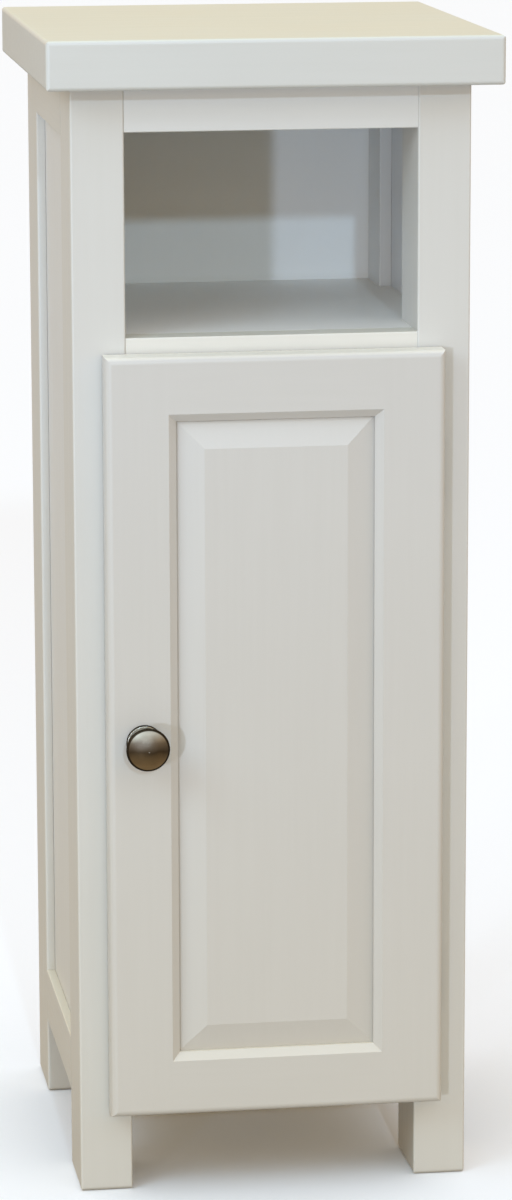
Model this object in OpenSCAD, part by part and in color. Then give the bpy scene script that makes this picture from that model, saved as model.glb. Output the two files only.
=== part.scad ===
// Apothecary cabinet: a tall, narrow painted cabinet with an open niche over a raised-panel door.
// Millimetres, +Z up, front towards -Y. The origin is on the floor, under the middle of the whole cabinet.
// Every piece is drawn with y = 0 at the front faces of the front posts, then in_frame() moves it.

/* [Overall] */
// Height from the floor to the top of the slab
cabinet_h = 885; // [780:1:1100]
// Width of the body over the posts
body_w = 300; // [250:1:380]
// Depth of the body over the posts
body_d = 320; // [260:1:400]

/* [Top slab] */
// Thickness of the slab
slab_t = 36.5; // [24:0.5:45]
// Overhang of the slab past each side of the body
slab_side_over = 20; // [8:1:32]
// Overhang of the slab past the front of the body
slab_front_over = 30; // [10:1:45]
// Radius on every edge of the slab
slab_edge_r = 3; // [1:0.5:5]

/* [Posts] */
// Width of a front post
front_post_w = 40; // [34:1:50]
// Width of a back post
back_post_w = 25; // [24:1:40]
// Depth of every post
post_d = 68; // [50:1:80]
// Rounding on the long edges of the posts
post_edge_r = 1.5; // [0.5:0.5:3]
// Rounding round the foot of each post
foot_edge_r = 3; // [1:0.5:4]
// Height of the clear space under the lowest rails
leg_h = 62; // [40:1:90]

/* [Rails] */
// Thickness of the front rails
front_rail_t = 22; // [18:1:26]
// Thickness of the side rails
side_rail_t = 22; // [18:1:24]
// Thickness of the back rails
back_rail_t = 18; // [16:1:24]
// Height of the front rail under the slab
front_top_rail_h = 33.5; // [28:0.5:50]
// Height of the front rail under the niche
front_middle_rail_h = 34; // [28:0.5:50]
// Height of the front rail under the door opening
front_bottom_rail_h = 34; // [28:0.5:50]
// Height of the side and back rails
side_rail_h = 42; // [36:1:60]
// Set-back of the front rails behind the posts
rail_setback = 1; // [0:0.25:2]
// Rounding on the long edges of the rails
rail_edge_r = 1; // [0.5:0.25:2]
// Height of the open niche
niche_h = 152.5; // [110:0.5:200]

/* [Panels and shelves] */
// Thickness of the side panels
side_panel_t = 8; // [6:0.5:9]
// Depth of the recess from the side rails to the side panels
side_recess = 7; // [4:0.5:8]
// Thickness of the back panel
back_panel_t = 6; // [4:0.5:8]
// Set-in of the back panel from the back faces of the posts
back_panel_inset = 11; // [9:0.5:16]
// Set-in of the back rails from the back faces of the posts
back_rail_inset = 5; // [2:0.5:6]
// Thickness of the shelves and the cupboard floor
shelf_t = 12; // [10:0.5:18]
// Depth of the grooves that hold the panels
groove_depth = 8; // [6:0.5:9]
// Section of the battens that carry the shelf, the floor and the slab
batten = 15; // [12:1:16]
// Height of the adjustable shelf's pins above the cupboard floor
inner_shelf_rise = 264; // [200:1:300]
// Number of pin holes in each post
pin_hole_count = 5; // [3:1:7]
// Distance from one pin hole to the next
pin_pitch = 20; // [16:1:32]

/* [Door] */
// Overlap of the door on each front post
door_overlap = 18; // [12:1:20]
// Gap between the front posts and the back of the door
door_gap = 2; // [2:0.25:3]
// Thickness of the door frame
door_t = 20; // [19:0.5:24]
// Height of the bottom of the door above the bottom of the lowest rail
door_rise = 3; // [0:0.5:8]
// Distance from the niche floor down to the top of the door
door_drop = 11.5; // [6:0.5:16]
// Width of the stiles
stile_w = 47; // [40:1:60]
// Width of the door's rails
door_rail_w = 43; // [40:1:60]
// Rounding round the front edge of the door
door_edge_r = 5; // [2:0.5:6]
// Width of the sloping moulding inside the door frame
sticking_w = 6; // [3:0.5:8]
// Depth of that moulding
sticking_d = 5; // [3:0.5:6]
// Width of the slope round the raised field
bevel_w = 21; // [14:1:28]
// Height of the raised field over the edge of the panel
bevel_rise = 5.5; // [3:0.5:6.5]
// Thickness of the tongue round the door panel
tongue_t = 6; // [5:0.5:7]

/* [Knob] */
// Diameter of the knob's head
knob_d = 33; // [26:0.5:38]
// Distance from the front of the door to the top of the head
knob_reach = 30.5; // [24:0.5:36]
// Diameter of the rose behind the knob
rose_d = 27.5; // [20:0.5:32]
// Thickness of the rose
rose_t = 2.5; // [1.5:0.25:4]
// Distance of the knob from the left edge of the door
knob_from_edge = 27; // [24:0.5:34]
// Height of the knob above the bottom of the door
knob_rise = 294; // [240:0.5:340]

/* [Hinges and catch] */
// Length of a hinge
hinge_len = 50; // [40:1:60]
// Distance from each end of the door to the middle of a hinge
hinge_from_end = 95; // [80:1:120]
// Outer diameter of the hinge knuckles
knuckle_d = 4.8; // [4.6:0.1:5]
// Diameter of the hinge pins
hinge_pin_d = 2; // [1.8:0.1:2.2]
// Thickness of a hinge leaf
leaf_t = 0.9; // [0.7:0.05:0.95]
// Width of a hinge leaf
leaf_w = 16; // [14:0.5:17]
// Height of the catch's centre below the top of the door
catch_drop = 62; // [50:1:80]

/* [Fasteners and clearances] */
// Diameter of the dowels in the body
dowel_d = 8; // [6:0.5:9]
// Diameter of the dowels in the door
door_dowel_d = 6; // [5:0.5:7]
// Length of a dowel in the body
dowel_len = 40; // [30:1:40]
// Length of a dowel in the door
door_dowel_len = 30; // [24:1:36]
// Diameter of the shelf pins
shelf_pin_d = 5; // [4:0.5:6]
// Radial clearance round dowels, shelf pins and screws
hole_gap = 0.1; // [0.05:0.05:0.2]
// Radial clearance of the hinge pins
pin_gap = 0.05; // [0.02:0.01:0.1]
// Clearance of a panel on each side in its groove
groove_gap = 0.2; // [0.1:0.05:0.3]
// Gap of a shelf round the posts
shelf_gap = 1.5; // [0.5:0.25:2.5]

/* [Hidden] */
$fn = 48;
cut = 1; // how far a cutting shape runs past a face
post_h = cabinet_h - slab_t;
slab_w = body_w + 2 * slab_side_over;
slab_d = body_d + slab_front_over;
half_w = body_w / 2;
opening_w = body_w - 2 * front_post_w;
back_gap_w = body_w - 2 * back_post_w;
mid_y = (body_d - door_gap - door_t - knob_reach) / 2;

// heights
niche_top_z = post_h - front_top_rail_h;
niche_z = niche_top_z - niche_h;
middle_rail_z = niche_z - front_middle_rail_h;
floor_z = leg_h + front_bottom_rail_h;
panel_low_z = leg_h + side_rail_h;
panel_high_z = post_h - side_rail_h;
pin_z = floor_z + inner_shelf_rise;
inner_shelf_z = pin_z + shelf_pin_d / 2;

// depths
rail_back_y = rail_setback + front_rail_t;
back_post_y = body_d - post_d;
back_panel_y = body_d - back_panel_inset - back_panel_t;
back_rail_y = body_d - back_rail_inset - back_rail_t;
pin_from_edge = 23; // shelf pins, from the inner edge of each front post
front_pin_y = post_d - pin_from_edge;
back_pin_from_edge = 35;
back_pin_y = back_post_y + back_pin_from_edge;

// side panels
panel_out_x = half_w - side_recess;
panel_in_x = panel_out_x - side_panel_t;
side_rail_in_x = half_w - side_rail_t;
panel_room = 1; // space left at the sides and at the top of a panel
panel_h = panel_high_z - panel_low_z + 2 * groove_depth - panel_room;

// dowels and pins
dowel_pitch = 17;
side_dowel_pitch = 16;
side_dowel_shift = 4; // keeps the dowels of the side and back rails off the panel grooves
dowel_hole_r = dowel_d / 2 + hole_gap;
dowel_end_gap = 0.5;
front_rail_mid_zs = [leg_h + front_bottom_rail_h / 2, middle_rail_z + front_middle_rail_h / 2,
    niche_top_z + front_top_rail_h / 2];
front_dowel_y = rail_setback + front_rail_t / 2;
side_dowel_zs = [leg_h + side_rail_h / 2 - side_dowel_shift, post_h - side_rail_h / 2 + side_dowel_shift];
side_dowel_x = half_w - side_rail_t / 2;
back_dowel_y = back_rail_y + back_rail_t / 2;
pin_in = 8;
pin_out = 8;

// battens and their screws
batten_screw_inset = 40; // from each end of a batten
batten_screw_ys = [post_d + batten_screw_inset, back_post_y - batten_screw_inset];
rail_bite = 14; // how far a screw goes into a side rail
slab_bite = 20; // how far a screw goes into the slab
pan_head_d = 6;
pan_head_t = 2;
floor_batten_z = floor_z - shelf_t - batten;
floor_screw_len = batten + rail_bite;
slab_batten_z = post_h - batten;
slab_screw_len = batten + slab_bite;
slab_screw_x = side_rail_in_x - batten / 2;

// door
door_w = opening_w + 2 * door_overlap;
door_z = leg_h + door_rise;
door_top_z = niche_z - door_drop;
door_h = door_top_z - door_z;
door_back_y = -door_gap;
door_front_y = door_back_y - door_t;
inner_w = door_w - 2 * stile_w;
inner_h = door_h - 2 * door_rail_w;
inner_low_z = door_z + door_rail_w;
lip_t = 3.3; // wood left in front of the panel groove
tongue_front_y = door_front_y + sticking_d + lip_t;
door_dowel_y = tongue_front_y + tongue_t / 2;
door_dowel_pitch = 17;
door_dowel_shift = 3; // keeps the door's dowels off the panel groove
groove_reach_x = inner_w / 2 - sticking_w + groove_depth;
groove_low_z = inner_low_z + sticking_w - groove_depth;
groove_high_z = inner_low_z + inner_h - sticking_w + groove_depth;

// knob
knob_x = -door_w / 2 + knob_from_edge;
knob_z = door_z + knob_rise;
neck_d = 11;
neck_curve_r = 5; // hollow round the neck
neck_gap = 0.1;
rim_t = 2.6;
dome_h = 6;
dome_inset = 1; // step from the rim in to the dome
under_t = 3.2; // depth of the slope under the head, at the neck
under_out_t = 2.6;
under_rim = 1.4;
knob_screw_d = 4;
knob_screw_in = 9;
knob_screw_head_d = 8;
knob_screw_head_t = 2.4;

// hinges
hinge_x = door_w / 2;
hinge_y = door_back_y - 1;
hinge_zs = [door_z + hinge_from_end, door_top_z - hinge_from_end];
end_knuckle_len = hinge_len / 4;
knuckle_gap = 0.2;
knuckle_room = 0.7;
pin_head_d = 3.4;
pin_head_t = 0.8;
leaf_bridge = 0.8; // how far a frame leaf reaches under its knuckles
screw_d = 3;
screw_len = 12;
screw_head_d = 5.4;
hinge_screw_pitch = 28;
leaf_x = hinge_x - leaf_w;
leaf_screw_x = hinge_x - leaf_w / 2 - 1;

// catch
catch_w = 13;
catch_d = 17;
catch_h = 46;
catch_z = door_top_z - catch_drop;
catch_x = -opening_w / 2;
catch_front_y = -0.3; // pole plates stand this far out towards the strike
catch_case_y = 1;
catch_back_wall = 3;
catch_wall = 2;
catch_flange_t = 2.5;
catch_screw_len = 12;
catch_screw_pitch = 34;
magnet_back = 0.6; // magnet behind the ends of its pole plates
magnet_from_flange = 2.2;
magnet_x = catch_x + catch_flange_t + magnet_from_flange;
magnet_h = 20;
magnet_w = 5;
pole_t = 1.2;
strike_t = 1.1;
strike_w = 12;
strike_h = 34;
strike_corner_r = 3;
strike_x = magnet_x + magnet_w / 2;
bumper_d = 9;
bumper_t = 1.6;

// Moves a piece from the front-post plane to the cabinet's own frame.
module in_frame() {
    translate([0, -mid_y, 0]) children();
}

// Draws children on the left (side = -1) or on the right (side = 1).
module on_side(side) {
    mirror([side < 0 ? 1 : 0, 0, 0]) children();
}

// Rectangle from the origin with its four corners rounded.
module rounded_rect(w, h, r) {
    translate([r, 0]) square([w - 2 * r, h]);
    translate([0, r]) square([w, h - 2 * r]);
    for (x = [r, w - r], y = [r, h - r])
        translate([x, y]) circle(r);
}

// Board with the four edges along X rounded.
module board_x(size, r) {
    rotate([90, 0, 90])
        linear_extrude(size[0]) rounded_rect(size[1], size[2], r);
}

// Board with the four edges along Y rounded.
module board_y(size, r) {
    translate([0, size[1], 0]) rotate([90, 0, 0])
        linear_extrude(size[1]) rounded_rect(size[0], size[2], r);
}

// Board with the four edges along Z rounded.
module board_z(size, r) {
    linear_extrude(size[2]) rounded_rect(size[0], size[1], r);
}

// Board with all twelve edges rounded.
module board_all(size, r) {
    intersection() {
        board_x(size, r);
        board_y(size, r);
        board_z(size, r);
    }
}

// Round bar or hole along one axis, starting at the origin.
module rod_x(d, length) { rotate([0, 90, 0]) cylinder(d = d, h = length); }
module rod_y(d, length) { rotate([-90, 0, 0]) cylinder(d = d, h = length); }

// Countersunk wood screw along +Y, its head flush with y = 0.
module screw_y(length) {
    rotate([-90, 0, 0]) {
        cylinder(d1 = screw_head_d, d2 = screw_d, h = (screw_head_d - screw_d) / 2);
        cylinder(d = screw_d, h = length);
    }
}

// The hole that screw_y() sits in.
module screw_hole_y(length) {
    head_d = screw_head_d + 2 * hole_gap;
    hole_d = screw_d + 2 * hole_gap;
    rotate([-90, 0, 0]) {
        translate([0, 0, -cut]) cylinder(d = head_d, h = cut);
        cylinder(d1 = head_d, d2 = hole_d, h = (head_d - hole_d) / 2);
        cylinder(d = hole_d, h = length + dowel_end_gap);
    }
}

// ---- dowel places, each drawn once and used for the dowels and for their holes ----

module front_dowel_set(d, length) {
    for (z = front_rail_mid_zs, dz = [-1, 1] * dowel_pitch / 2)
        translate([opening_w / 2 - length / 2, front_dowel_y, z + dz]) rod_x(d, length);
}

module side_dowel_set(d, length) {
    for (y = [post_d, back_post_y], z = side_dowel_zs, dz = [-1, 1] * side_dowel_pitch / 2)
        translate([side_dowel_x, y - length / 2, z + dz]) rod_y(d, length);
}

module back_dowel_set(d, length) {
    for (z = side_dowel_zs, dz = [-1, 1] * side_dowel_pitch / 2)
        translate([back_gap_w / 2 - length / 2, back_dowel_y, z + dz]) rod_x(d, length);
}

module dowel_holes(side) {
    hole_len = dowel_len + 2 * dowel_end_gap;
    on_side(side) {
        front_dowel_set(2 * dowel_hole_r, hole_len);
        side_dowel_set(2 * dowel_hole_r, hole_len);
        back_dowel_set(2 * dowel_hole_r, hole_len);
    }
}

// ---- top ----

module top_slab() {
    color("#E6E1D4") in_frame() difference() {
        translate([-slab_w / 2, -slab_front_over, post_h])
            board_all([slab_w, slab_d, slab_t], slab_edge_r);
        slab_screw_set(screw_d + 2 * hole_gap, slab_screw_len + dowel_end_gap);
    }
}

// ---- posts ----

module pin_holes(x, y) {
    for (k = [0 : pin_hole_count - 1])
        translate([x, y, pin_z + (k - (pin_hole_count - 1) / 2) * pin_pitch])
            rod_x(shelf_pin_d + 2 * hole_gap, pin_in + dowel_end_gap + cut);
}

// Groove for a side panel, in the post edge at y.
module side_groove() {
    translate([panel_in_x - groove_gap, post_d - groove_depth, panel_low_z - groove_depth])
        cube([side_panel_t + 2 * groove_gap, back_post_y - post_d + 2 * groove_depth,
            panel_high_z - panel_low_z + 2 * groove_depth]);
}

// Groove for the back panel.
module back_groove() {
    reach = back_gap_w / 2 + groove_depth;
    translate([-reach, back_panel_y - groove_gap, panel_low_z - groove_depth])
        cube([2 * reach, back_panel_t + 2 * groove_gap, panel_high_z - panel_low_z + 2 * groove_depth]);
}

// Post with rounded long edges and a rounded foot.
module post_blank(w, y) {
    translate([half_w - w, y, 0]) intersection() {
        board_z([w, post_d, post_h], post_edge_r);
        board_x([w, post_d, post_h + 2 * foot_edge_r], foot_edge_r);
        board_y([w, post_d, post_h + 2 * foot_edge_r], foot_edge_r);
    }
}

module front_post(side) {
    in_frame() difference() {
        on_side(side) post_blank(front_post_w, 0);
        on_side(side) side_groove();
        on_side(side) pin_holes(opening_w / 2 - cut, front_pin_y);
        dowel_holes(side);
        if (side > 0) frame_screw_holes();
        if (side < 0) catch_screw_set(screw_d + 2 * hole_gap, catch_screw_len + dowel_end_gap);
    }
}

module back_post(side) {
    in_frame() difference() {
        on_side(side) post_blank(back_post_w, back_post_y);
        on_side(side) side_groove();
        back_groove();
        on_side(side) pin_holes(back_gap_w / 2 - cut, back_pin_y);
        dowel_holes(side);
    }
}

module front_left_post() { color("#D6D5D0") front_post(-1); }
module front_right_post() { color("#D6D5D0") front_post(1); }
module back_left_post() { color("#CFCDC6") back_post(-1); }
module back_right_post() { color("#CFCDC6") back_post(1); }

// ---- rails ----

module front_rail(z, h) {
    color("#D9D8D2") in_frame() difference() {
        translate([-opening_w / 2, rail_setback, z]) board_x([opening_w, front_rail_t, h], rail_edge_r);
        for (side = [-1, 1]) dowel_holes(side);
    }
}

module front_top_rail() { front_rail(niche_top_z, front_top_rail_h); }
module front_middle_rail() { front_rail(middle_rail_z, front_middle_rail_h); }
module front_bottom_rail() { front_rail(leg_h, front_bottom_rail_h); }

module side_rail(side, z) {
    color("#D3D1CA") in_frame() difference() {
        on_side(side) translate([side_rail_in_x, post_d, z])
            board_y([side_rail_t, back_post_y - post_d, side_rail_h], rail_edge_r);
        on_side(side) side_groove();
        dowel_holes(side);
        on_side(side) floor_screw_set(screw_d + 2 * hole_gap, dowel_end_gap);
    }
}

module left_top_rail() { side_rail(-1, panel_high_z); }
module left_bottom_rail() { side_rail(-1, leg_h); }
module right_top_rail() { side_rail(1, panel_high_z); }
module right_bottom_rail() { side_rail(1, leg_h); }

module back_rail(z) {
    color("#CFCDC6") in_frame() difference() {
        translate([-back_gap_w / 2, back_rail_y, z]) board_x([back_gap_w, back_rail_t, side_rail_h], rail_edge_r);
        back_groove();
        for (side = [-1, 1]) dowel_holes(side);
    }
}

module back_top_rail() { back_rail(panel_high_z); }
module back_bottom_rail() { back_rail(leg_h); }

// ---- panels: each stands on the bottom of its groove, with room at the other edges ----

module side_panel(side) {
    color("#D0CEC7") in_frame() on_side(side)
        translate([panel_in_x, post_d - groove_depth + panel_room, panel_low_z - groove_depth])
            cube([side_panel_t, back_post_y - post_d + 2 * (groove_depth - panel_room), panel_h]);
}

module left_side_panel() { side_panel(-1); }
module right_side_panel() { side_panel(1); }

module back_panel() {
    reach = back_gap_w / 2 + groove_depth - panel_room;
    color("#C9CBC9") in_frame() translate([-reach, back_panel_y, panel_low_z - groove_depth])
        cube([2 * reach, back_panel_t, panel_h]);
}

// ---- shelves and battens ----

// Board from the front rails back to back_y, notched round the posts.
module notched_shelf(top_z, reach_x, back_y) {
    color("#CFCFCA") in_frame() translate([0, 0, top_z - shelf_t]) difference() {
        translate([-reach_x, rail_back_y, 0]) cube([2 * reach_x, back_y - rail_back_y, shelf_t]);
        for (side = [-1, 1]) on_side(side) {
            translate([opening_w / 2, -cut, -cut])
                cube([body_w, post_d + shelf_gap + cut, shelf_t + 2 * cut]);
            translate([back_gap_w / 2, back_post_y - shelf_gap, -cut])
                cube([body_w, body_d, shelf_t + 2 * cut]);
        }
    }
}

module niche_shelf() { notched_shelf(niche_z, panel_in_x, back_panel_y); }
module cupboard_floor() { notched_shelf(floor_z, side_rail_in_x, back_rail_y); }

module inner_shelf() {
    front_y = rail_back_y + shelf_gap;
    front_half = (opening_w - shelf_gap) / 2;
    back_half = (back_gap_w - shelf_gap) / 2;
    color("#CFCFCA") in_frame() translate([0, 0, inner_shelf_z]) difference() {
        translate([-back_half, front_y, 0]) board_x([2 * back_half, back_panel_y - shelf_gap - front_y, shelf_t], rail_edge_r);
        for (side = [-1, 1]) on_side(side)
            translate([front_half, -cut, -cut]) cube([body_w, post_d + shelf_gap + cut, shelf_t + 2 * cut]);
    }
}

// Pair of battens between the front and back posts, their outer faces at x.
module batten_pair(x, z) {
    for (side = [-1, 1]) on_side(side)
        translate([x - batten, post_d, z]) cube([batten, back_post_y - post_d, batten]);
}

module niche_shelf_battens() {
    color("#C6C6C1") in_frame() batten_pair(panel_in_x, niche_z - shelf_t - batten);
}

module floor_screw_set(d, extra) {
    for (y = batten_screw_ys)
        translate([side_rail_in_x - batten, y, floor_batten_z + batten / 2]) rod_x(d, floor_screw_len + extra);
}

module floor_battens() {
    color("#C6C6C1") in_frame() difference() {
        batten_pair(side_rail_in_x, floor_batten_z);
        for (side = [-1, 1]) on_side(side) floor_screw_set(screw_d + 2 * hole_gap, dowel_end_gap);
    }
}

module floor_batten_screws() {
    color("#B9A878") in_frame() for (side = [-1, 1]) on_side(side) {
        floor_screw_set(screw_d, 0);
        for (y = batten_screw_ys)
            translate([side_rail_in_x - batten - pan_head_t, y, floor_batten_z + batten / 2])
                rod_x(pan_head_d, pan_head_t);
    }
}

module slab_screw_set(d, length) {
    for (side = [-1, 1], y = batten_screw_ys)
        translate([side * slab_screw_x, y, slab_batten_z]) cylinder(d = d, h = length);
}

module slab_battens() {
    color("#C6C6C1") in_frame() difference() {
        batten_pair(side_rail_in_x, slab_batten_z);
        slab_screw_set(screw_d + 2 * hole_gap, slab_screw_len);
    }
}

module slab_screws() {
    color("#B9A878") in_frame() {
        slab_screw_set(screw_d, slab_screw_len);
        for (side = [-1, 1], y = batten_screw_ys)
            translate([side * slab_screw_x, y, slab_batten_z - pan_head_t]) cylinder(d = pan_head_d, h = pan_head_t);
    }
}

// ---- dowels and pins ----

module front_dowels() {
    color("#D9B98A") in_frame() for (side = [-1, 1]) on_side(side) front_dowel_set(dowel_d, dowel_len);
}

module side_dowels() {
    color("#D9B98A") in_frame() for (side = [-1, 1]) on_side(side) side_dowel_set(dowel_d, dowel_len);
}

module back_dowels() {
    color("#D9B98A") in_frame() for (side = [-1, 1]) on_side(side) back_dowel_set(dowel_d, dowel_len);
}

module shelf_pins() {
    color("#B7BABD") in_frame() for (side = [-1, 1]) on_side(side) {
        translate([opening_w / 2 - pin_out, front_pin_y, pin_z]) rod_x(shelf_pin_d, pin_in + pin_out);
        translate([back_gap_w / 2 - pin_out, back_pin_y, pin_z]) rod_x(shelf_pin_d, pin_in + pin_out);
    }
}

// ---- door ----

// Swaps the two directions of a section, so that its width runs up the door.
module upright() { mirror([1, -1, 0]) children(); }

// Front outline across a door: flat back at y = 0, front at y = -t, front edges rounded.
module door_section(w, t, r) {
    translate([-w / 2, -t + r]) square([w, t - r]);
    translate([-w / 2 + r, -t]) square([w - 2 * r, t]);
    for (x = [-1, 1] * (w / 2 - r)) translate([x, -t + r]) circle(r);
}

// Whole door outline with its front edges rounded and mitred at the corners.
module door_envelope() {
    translate([0, door_back_y, door_z]) intersection() {
        linear_extrude(door_h) door_section(door_w, door_t, door_edge_r);
        translate([-door_w / 2, 0, door_h / 2]) rotate([90, 0, 90])
            linear_extrude(door_w) upright() door_section(door_h, door_t, door_edge_r);
    }
}

// Section of the moulded opening: it narrows from the front face to the lip, then runs straight back.
module opening_section(w) {
    half = w / 2;
    half_in = half - sticking_w;
    polygon([[-half - cut, -door_t - cut], [half + cut, -door_t - cut], [half, -door_t],
        [half_in, -door_t + sticking_d], [half_in, cut], [-half_in, cut],
        [-half_in, -door_t + sticking_d], [-half, -door_t]]);
}

module door_opening() {
    translate([0, door_back_y, inner_low_z]) intersection() {
        translate([0, 0, -cut]) linear_extrude(inner_h + 2 * cut) opening_section(inner_w);
        translate([-inner_w / 2 - cut, 0, inner_h / 2]) rotate([90, 0, 90])
            linear_extrude(inner_w + 2 * cut) upright() opening_section(inner_h);
    }
}

module door_groove() {
    translate([-groove_reach_x, tongue_front_y - groove_gap, groove_low_z])
        cube([2 * groove_reach_x, tongue_t + 2 * groove_gap, groove_high_z - groove_low_z]);
}

module door_dowel_set(d, length) {
    for (side = [-1, 1], z = [door_z + door_rail_w / 2 - door_dowel_shift, door_top_z - door_rail_w / 2 + door_dowel_shift],
            dz = [-1, 1] * door_dowel_pitch / 2)
        translate([side * inner_w / 2 - length / 2, door_dowel_y, z + dz]) rod_x(d, length);
}

module door_cuts() {
    door_opening();
    door_groove();
    door_dowel_set(door_dowel_d + 2 * hole_gap, door_dowel_len + 2 * dowel_end_gap);
}

module stile(side) {
    depth = door_t + 2 * cut;
    color("#D2D1CC") in_frame() difference() {
        intersection() {
            door_envelope();
            on_side(side) translate([0, door_front_y - cut, 0]) {
                translate([inner_w / 2, 0, 0]) cube([stile_w + cut, depth, door_top_z + cut]);
                translate([inner_w / 2 - sticking_w, 0, inner_low_z + sticking_w])
                    cube([stile_w, depth, inner_h - 2 * sticking_w]);
            }
        }
        door_cuts();
        if (side > 0) {
            knuckle_notches();
            door_screw_holes();
        }
        if (side < 0) {
            translate([knob_x, door_front_y - cut, knob_z])
                rod_y(knob_screw_d + 2 * hole_gap, door_t + 2 * cut);
            strike_screw_hole();
        }
    }
}

module door_left_stile() { stile(-1); }
module door_right_stile() { stile(1); }

module door_rail(z) {
    color("#D4D3CE") in_frame() difference() {
        intersection() {
            door_envelope();
            translate([-inner_w / 2, door_front_y - cut, z])
                cube([inner_w, door_t + 2 * cut, door_rail_w + sticking_w]);
        }
        door_cuts();
    }
}

module door_top_rail() { door_rail(door_top_z - door_rail_w - sticking_w); }
module door_bottom_rail() { door_rail(door_z); }

// Section of the raised panel: tongue, slope and field. hidden_low is the tongue's width at the
// low edge, and the other tongue is short by the panel's room.
module panel_section(w, hidden_low) {
    hidden_high = groove_depth - panel_room;
    polygon([[-w / 2, 0], [-w / 2, -tongue_t], [-w / 2 + hidden_low, -tongue_t],
        [-w / 2 + hidden_low + bevel_w, -tongue_t - bevel_rise],
        [w / 2 - hidden_high - bevel_w, -tongue_t - bevel_rise],
        [w / 2 - hidden_high, -tongue_t], [w / 2, -tongue_t], [w / 2, 0]]);
}

module door_panel() {
    w = 2 * (groove_reach_x - panel_room);
    h = groove_high_z - groove_low_z - panel_room;
    color("#D6D5D1") in_frame()
        translate([0, tongue_front_y + tongue_t, groove_low_z]) intersection() {
            linear_extrude(h) panel_section(w, groove_depth - panel_room);
            translate([-w / 2, 0, h / 2]) rotate([90, 0, 90]) linear_extrude(w) upright()
                panel_section(h, groove_depth);
        }
}

module door_dowels() {
    color("#D9B98A") in_frame() door_dowel_set(door_dowel_d, door_dowel_len);
}

// ---- knob ----

// Turns a profile of radius against reach into a piece standing off the door at the knob.
module turned() {
    translate([knob_x, door_front_y, knob_z]) rotate([90, 0, 0]) rotate_extrude($fn = 72) children();
}

module knob() {
    r = knob_d / 2;
    rim_z = knob_reach - dome_h - rim_t;
    dome_half_w = r - dome_inset;
    dome_r = (pow(dome_half_w, 2) + pow(dome_h, 2)) / (2 * dome_h);
    flare_r = neck_d / 2 + neck_curve_r;
    color("#6F6656") in_frame() difference() {
        turned() {
            difference() {
                square([flare_r, rim_z]);
                square([flare_r + cut, rose_t]);
                translate([flare_r, (rim_z + rose_t) / 2]) circle(neck_curve_r);
                translate([neck_d / 2 + neck_gap, rose_t - cut])
                    square([neck_curve_r + cut, (rim_z - rose_t) / 2 + cut]);
            }
            polygon([[0, rim_z - under_t], [flare_r - under_rim, rim_z - under_out_t],
                [r - under_rim, rim_z], [0, rim_z]]);
            translate([0, rim_z]) square([r - rim_t / 2, rim_t]);
            translate([r - rim_t / 2, rim_z + rim_t / 2]) circle(rim_t / 2);
            intersection() {
                translate([0, knob_reach - dome_r]) circle(dome_r, $fn = 96);
                translate([0, rim_z + rim_t / 2]) square([dome_half_w, dome_h + rim_t]);
            }
        }
        translate([knob_x, door_front_y - rose_t - knob_screw_in - dowel_end_gap, knob_z])
            rod_y(knob_screw_d + 2 * hole_gap, knob_screw_in + dowel_end_gap + cut);
    }
}

module knob_rose() {
    r = rose_d / 2;
    color("#77705F") in_frame() difference() {
        turned() {
            square([r - rose_t / 2, rose_t]);
            square([r, rose_t / 2]);
            translate([r - rose_t / 2, rose_t / 2]) circle(rose_t / 2);
        }
        translate([knob_x, door_front_y - rose_t - cut, knob_z])
            rod_y(knob_screw_d + 2 * hole_gap, rose_t + 2 * cut);
    }
}

module knob_screw() {
    reach = door_t + rose_t + knob_screw_in;
    color("#B7BABD") in_frame() {
        translate([knob_x, door_back_y - reach, knob_z]) rod_y(knob_screw_d, reach);
        translate([knob_x, door_back_y, knob_z]) rod_y(knob_screw_head_d, knob_screw_head_t);
    }
}

// ---- hinges: the pin stands at the door's back right corner, the leaves fold into the door gap ----

module knuckle(z, length) {
    translate([hinge_x, hinge_y, z]) difference() {
        cylinder(d = knuckle_d, h = length);
        translate([0, 0, -cut]) cylinder(d = hinge_pin_d + 2 * pin_gap, h = length + 2 * cut);
    }
}

// Space round the knuckles, from z over a length.
module knuckle_space(z, length) {
    side = knuckle_d + 2 * knuckle_room;
    translate([hinge_x - side / 2, hinge_y - side / 2, z]) cube([side, side, length]);
}

module knuckle_notches() {
    room = pin_head_t + knuckle_room;
    for (z = hinge_zs) knuckle_space(z - hinge_len / 2 - room, hinge_len + 2 * room);
}

module leaf_screw_places(z) {
    for (dz = [-1, 1] * hinge_screw_pitch / 2) translate([leaf_screw_x, 0, z + dz]) children();
}

module pin_bore(z) {
    translate([hinge_x, hinge_y, z - hinge_len / 2 - cut])
        cylinder(d = hinge_pin_d + 2 * pin_gap, h = hinge_len + 2 * cut);
}

// Leaf on the front post, with the two end knuckles.
module hinge_frame_leaf(z) {
    low_z = z - hinge_len / 2;
    color("#C9C6BD") in_frame() difference() {
        union() {
            difference() {
                translate([leaf_x, -leaf_t, low_z]) cube([leaf_w + leaf_bridge, leaf_t, hinge_len]);
                knuckle_space(low_z + end_knuckle_len, hinge_len - 2 * end_knuckle_len);
            }
            for (k = [low_z, low_z + hinge_len - end_knuckle_len]) knuckle(k, end_knuckle_len);
        }
        pin_bore(z);
        leaf_screw_places(z) translate([0, -leaf_t, 0]) screw_hole_y(screw_len);
    }
}

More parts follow.
